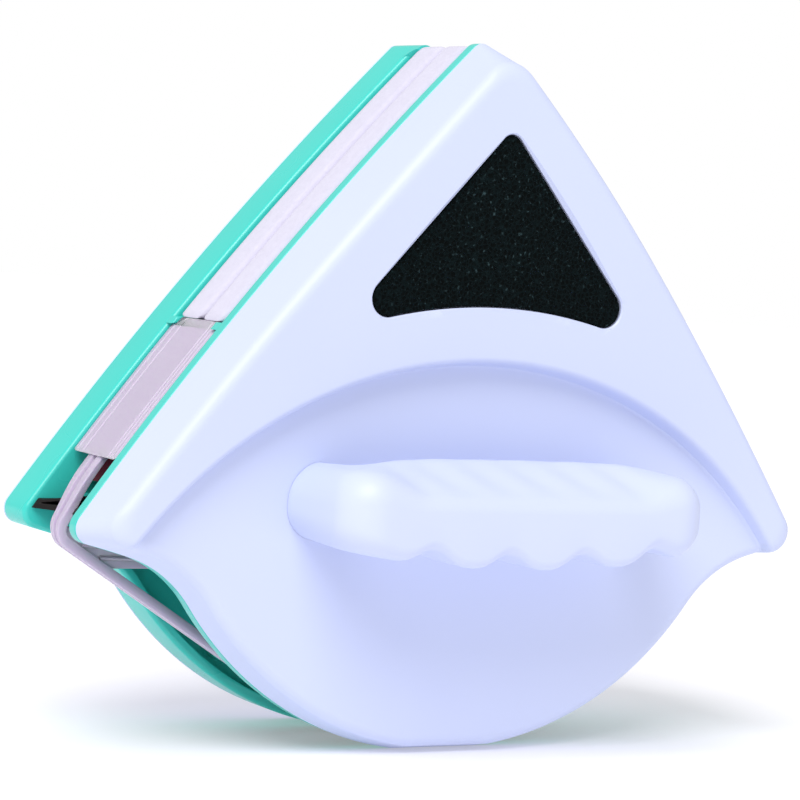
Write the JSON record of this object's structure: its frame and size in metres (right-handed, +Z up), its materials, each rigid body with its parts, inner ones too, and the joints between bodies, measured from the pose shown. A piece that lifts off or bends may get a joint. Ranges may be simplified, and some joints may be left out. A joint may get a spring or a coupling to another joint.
{
  "type": "magnetic glass cleaner",
  "caption": "Double-sided triangular glass cleaner: two magnetic halves with wiping pads and rubber blades, a grip handle and a storage separator between them.",
  "frame": {"origin": "under the middle of the whole object's box, on the surface that its flat foot stands on", "axes": "+Z up towards the apex, +X to the right seen from the handle side, -Y towards the handle side"},
  "size_m": [0.205, 0.1016, 0.1773],
  "materials": {
    "shell": "glossy bluish-white ABS",
    "tray": "glossy teal ABS",
    "pad": "white needled fleece",
    "hook_sheet": "fine hook sheet",
    "separator": "milky translucent polypropylene",
    "blade": "matt black rubber",
    "foam": "open-cell black foam",
    "steel": "zinc-plated",
    "magnet": "nickel-plated"
  },
  "bodies": {
    "outdoor_half": {"back_tray": "tray", "back_tray_screw_top": "steel", "back_tray_screw_left": "steel", "back_tray_screw_right": "steel", "back_magnet_top": "magnet", "back_magnet_middle": "magnet", "back_magnet_left": "magnet", "back_magnet_right": "magnet", "back_yoke_plate": "steel", "back_pad_backing": "hook_sheet", "back_pad": "pad", "back_base_blade": "blade", "back_left_blade": "blade", "back_right_blade": "blade", "back_cover": "shell", "cord_pin": "steel"},
    "spacer": {"separator": "separator"},
    "operator_half": {"front_tray": "tray", "front_tray_screw_top": "steel", "front_tray_screw_left": "steel", "front_tray_screw_right": "steel", "front_magnet_top": "magnet", "front_magnet_middle": "magnet", "front_magnet_left": "magnet", "front_magnet_right": "magnet", "front_yoke_plate": "steel", "front_pad_backing": "hook_sheet", "front_pad": "pad", "front_base_blade": "blade", "front_left_blade": "blade", "front_right_blade": "blade", "front_shell": "shell", "foam_insert": "foam", "handle": "shell", "handle_screw_left": "steel", "handle_screw_right": "steel"}
  },
  "joints": [
    {"name": "separator_lift", "type": "slide", "parent": "outdoor_half", "child": "spacer", "axis": [0, -1, 0], "range_m": [0, 0.03], "stiffness_N_per_m": 40, "springref_m": -0.2},
    {"name": "half_lift", "type": "slide", "parent": "spacer", "child": "operator_half", "axis": [0, -1, 0], "range_m": [0, 0.04], "stiffness_N_per_m": 40, "springref_m": -0.2}
  ]
}
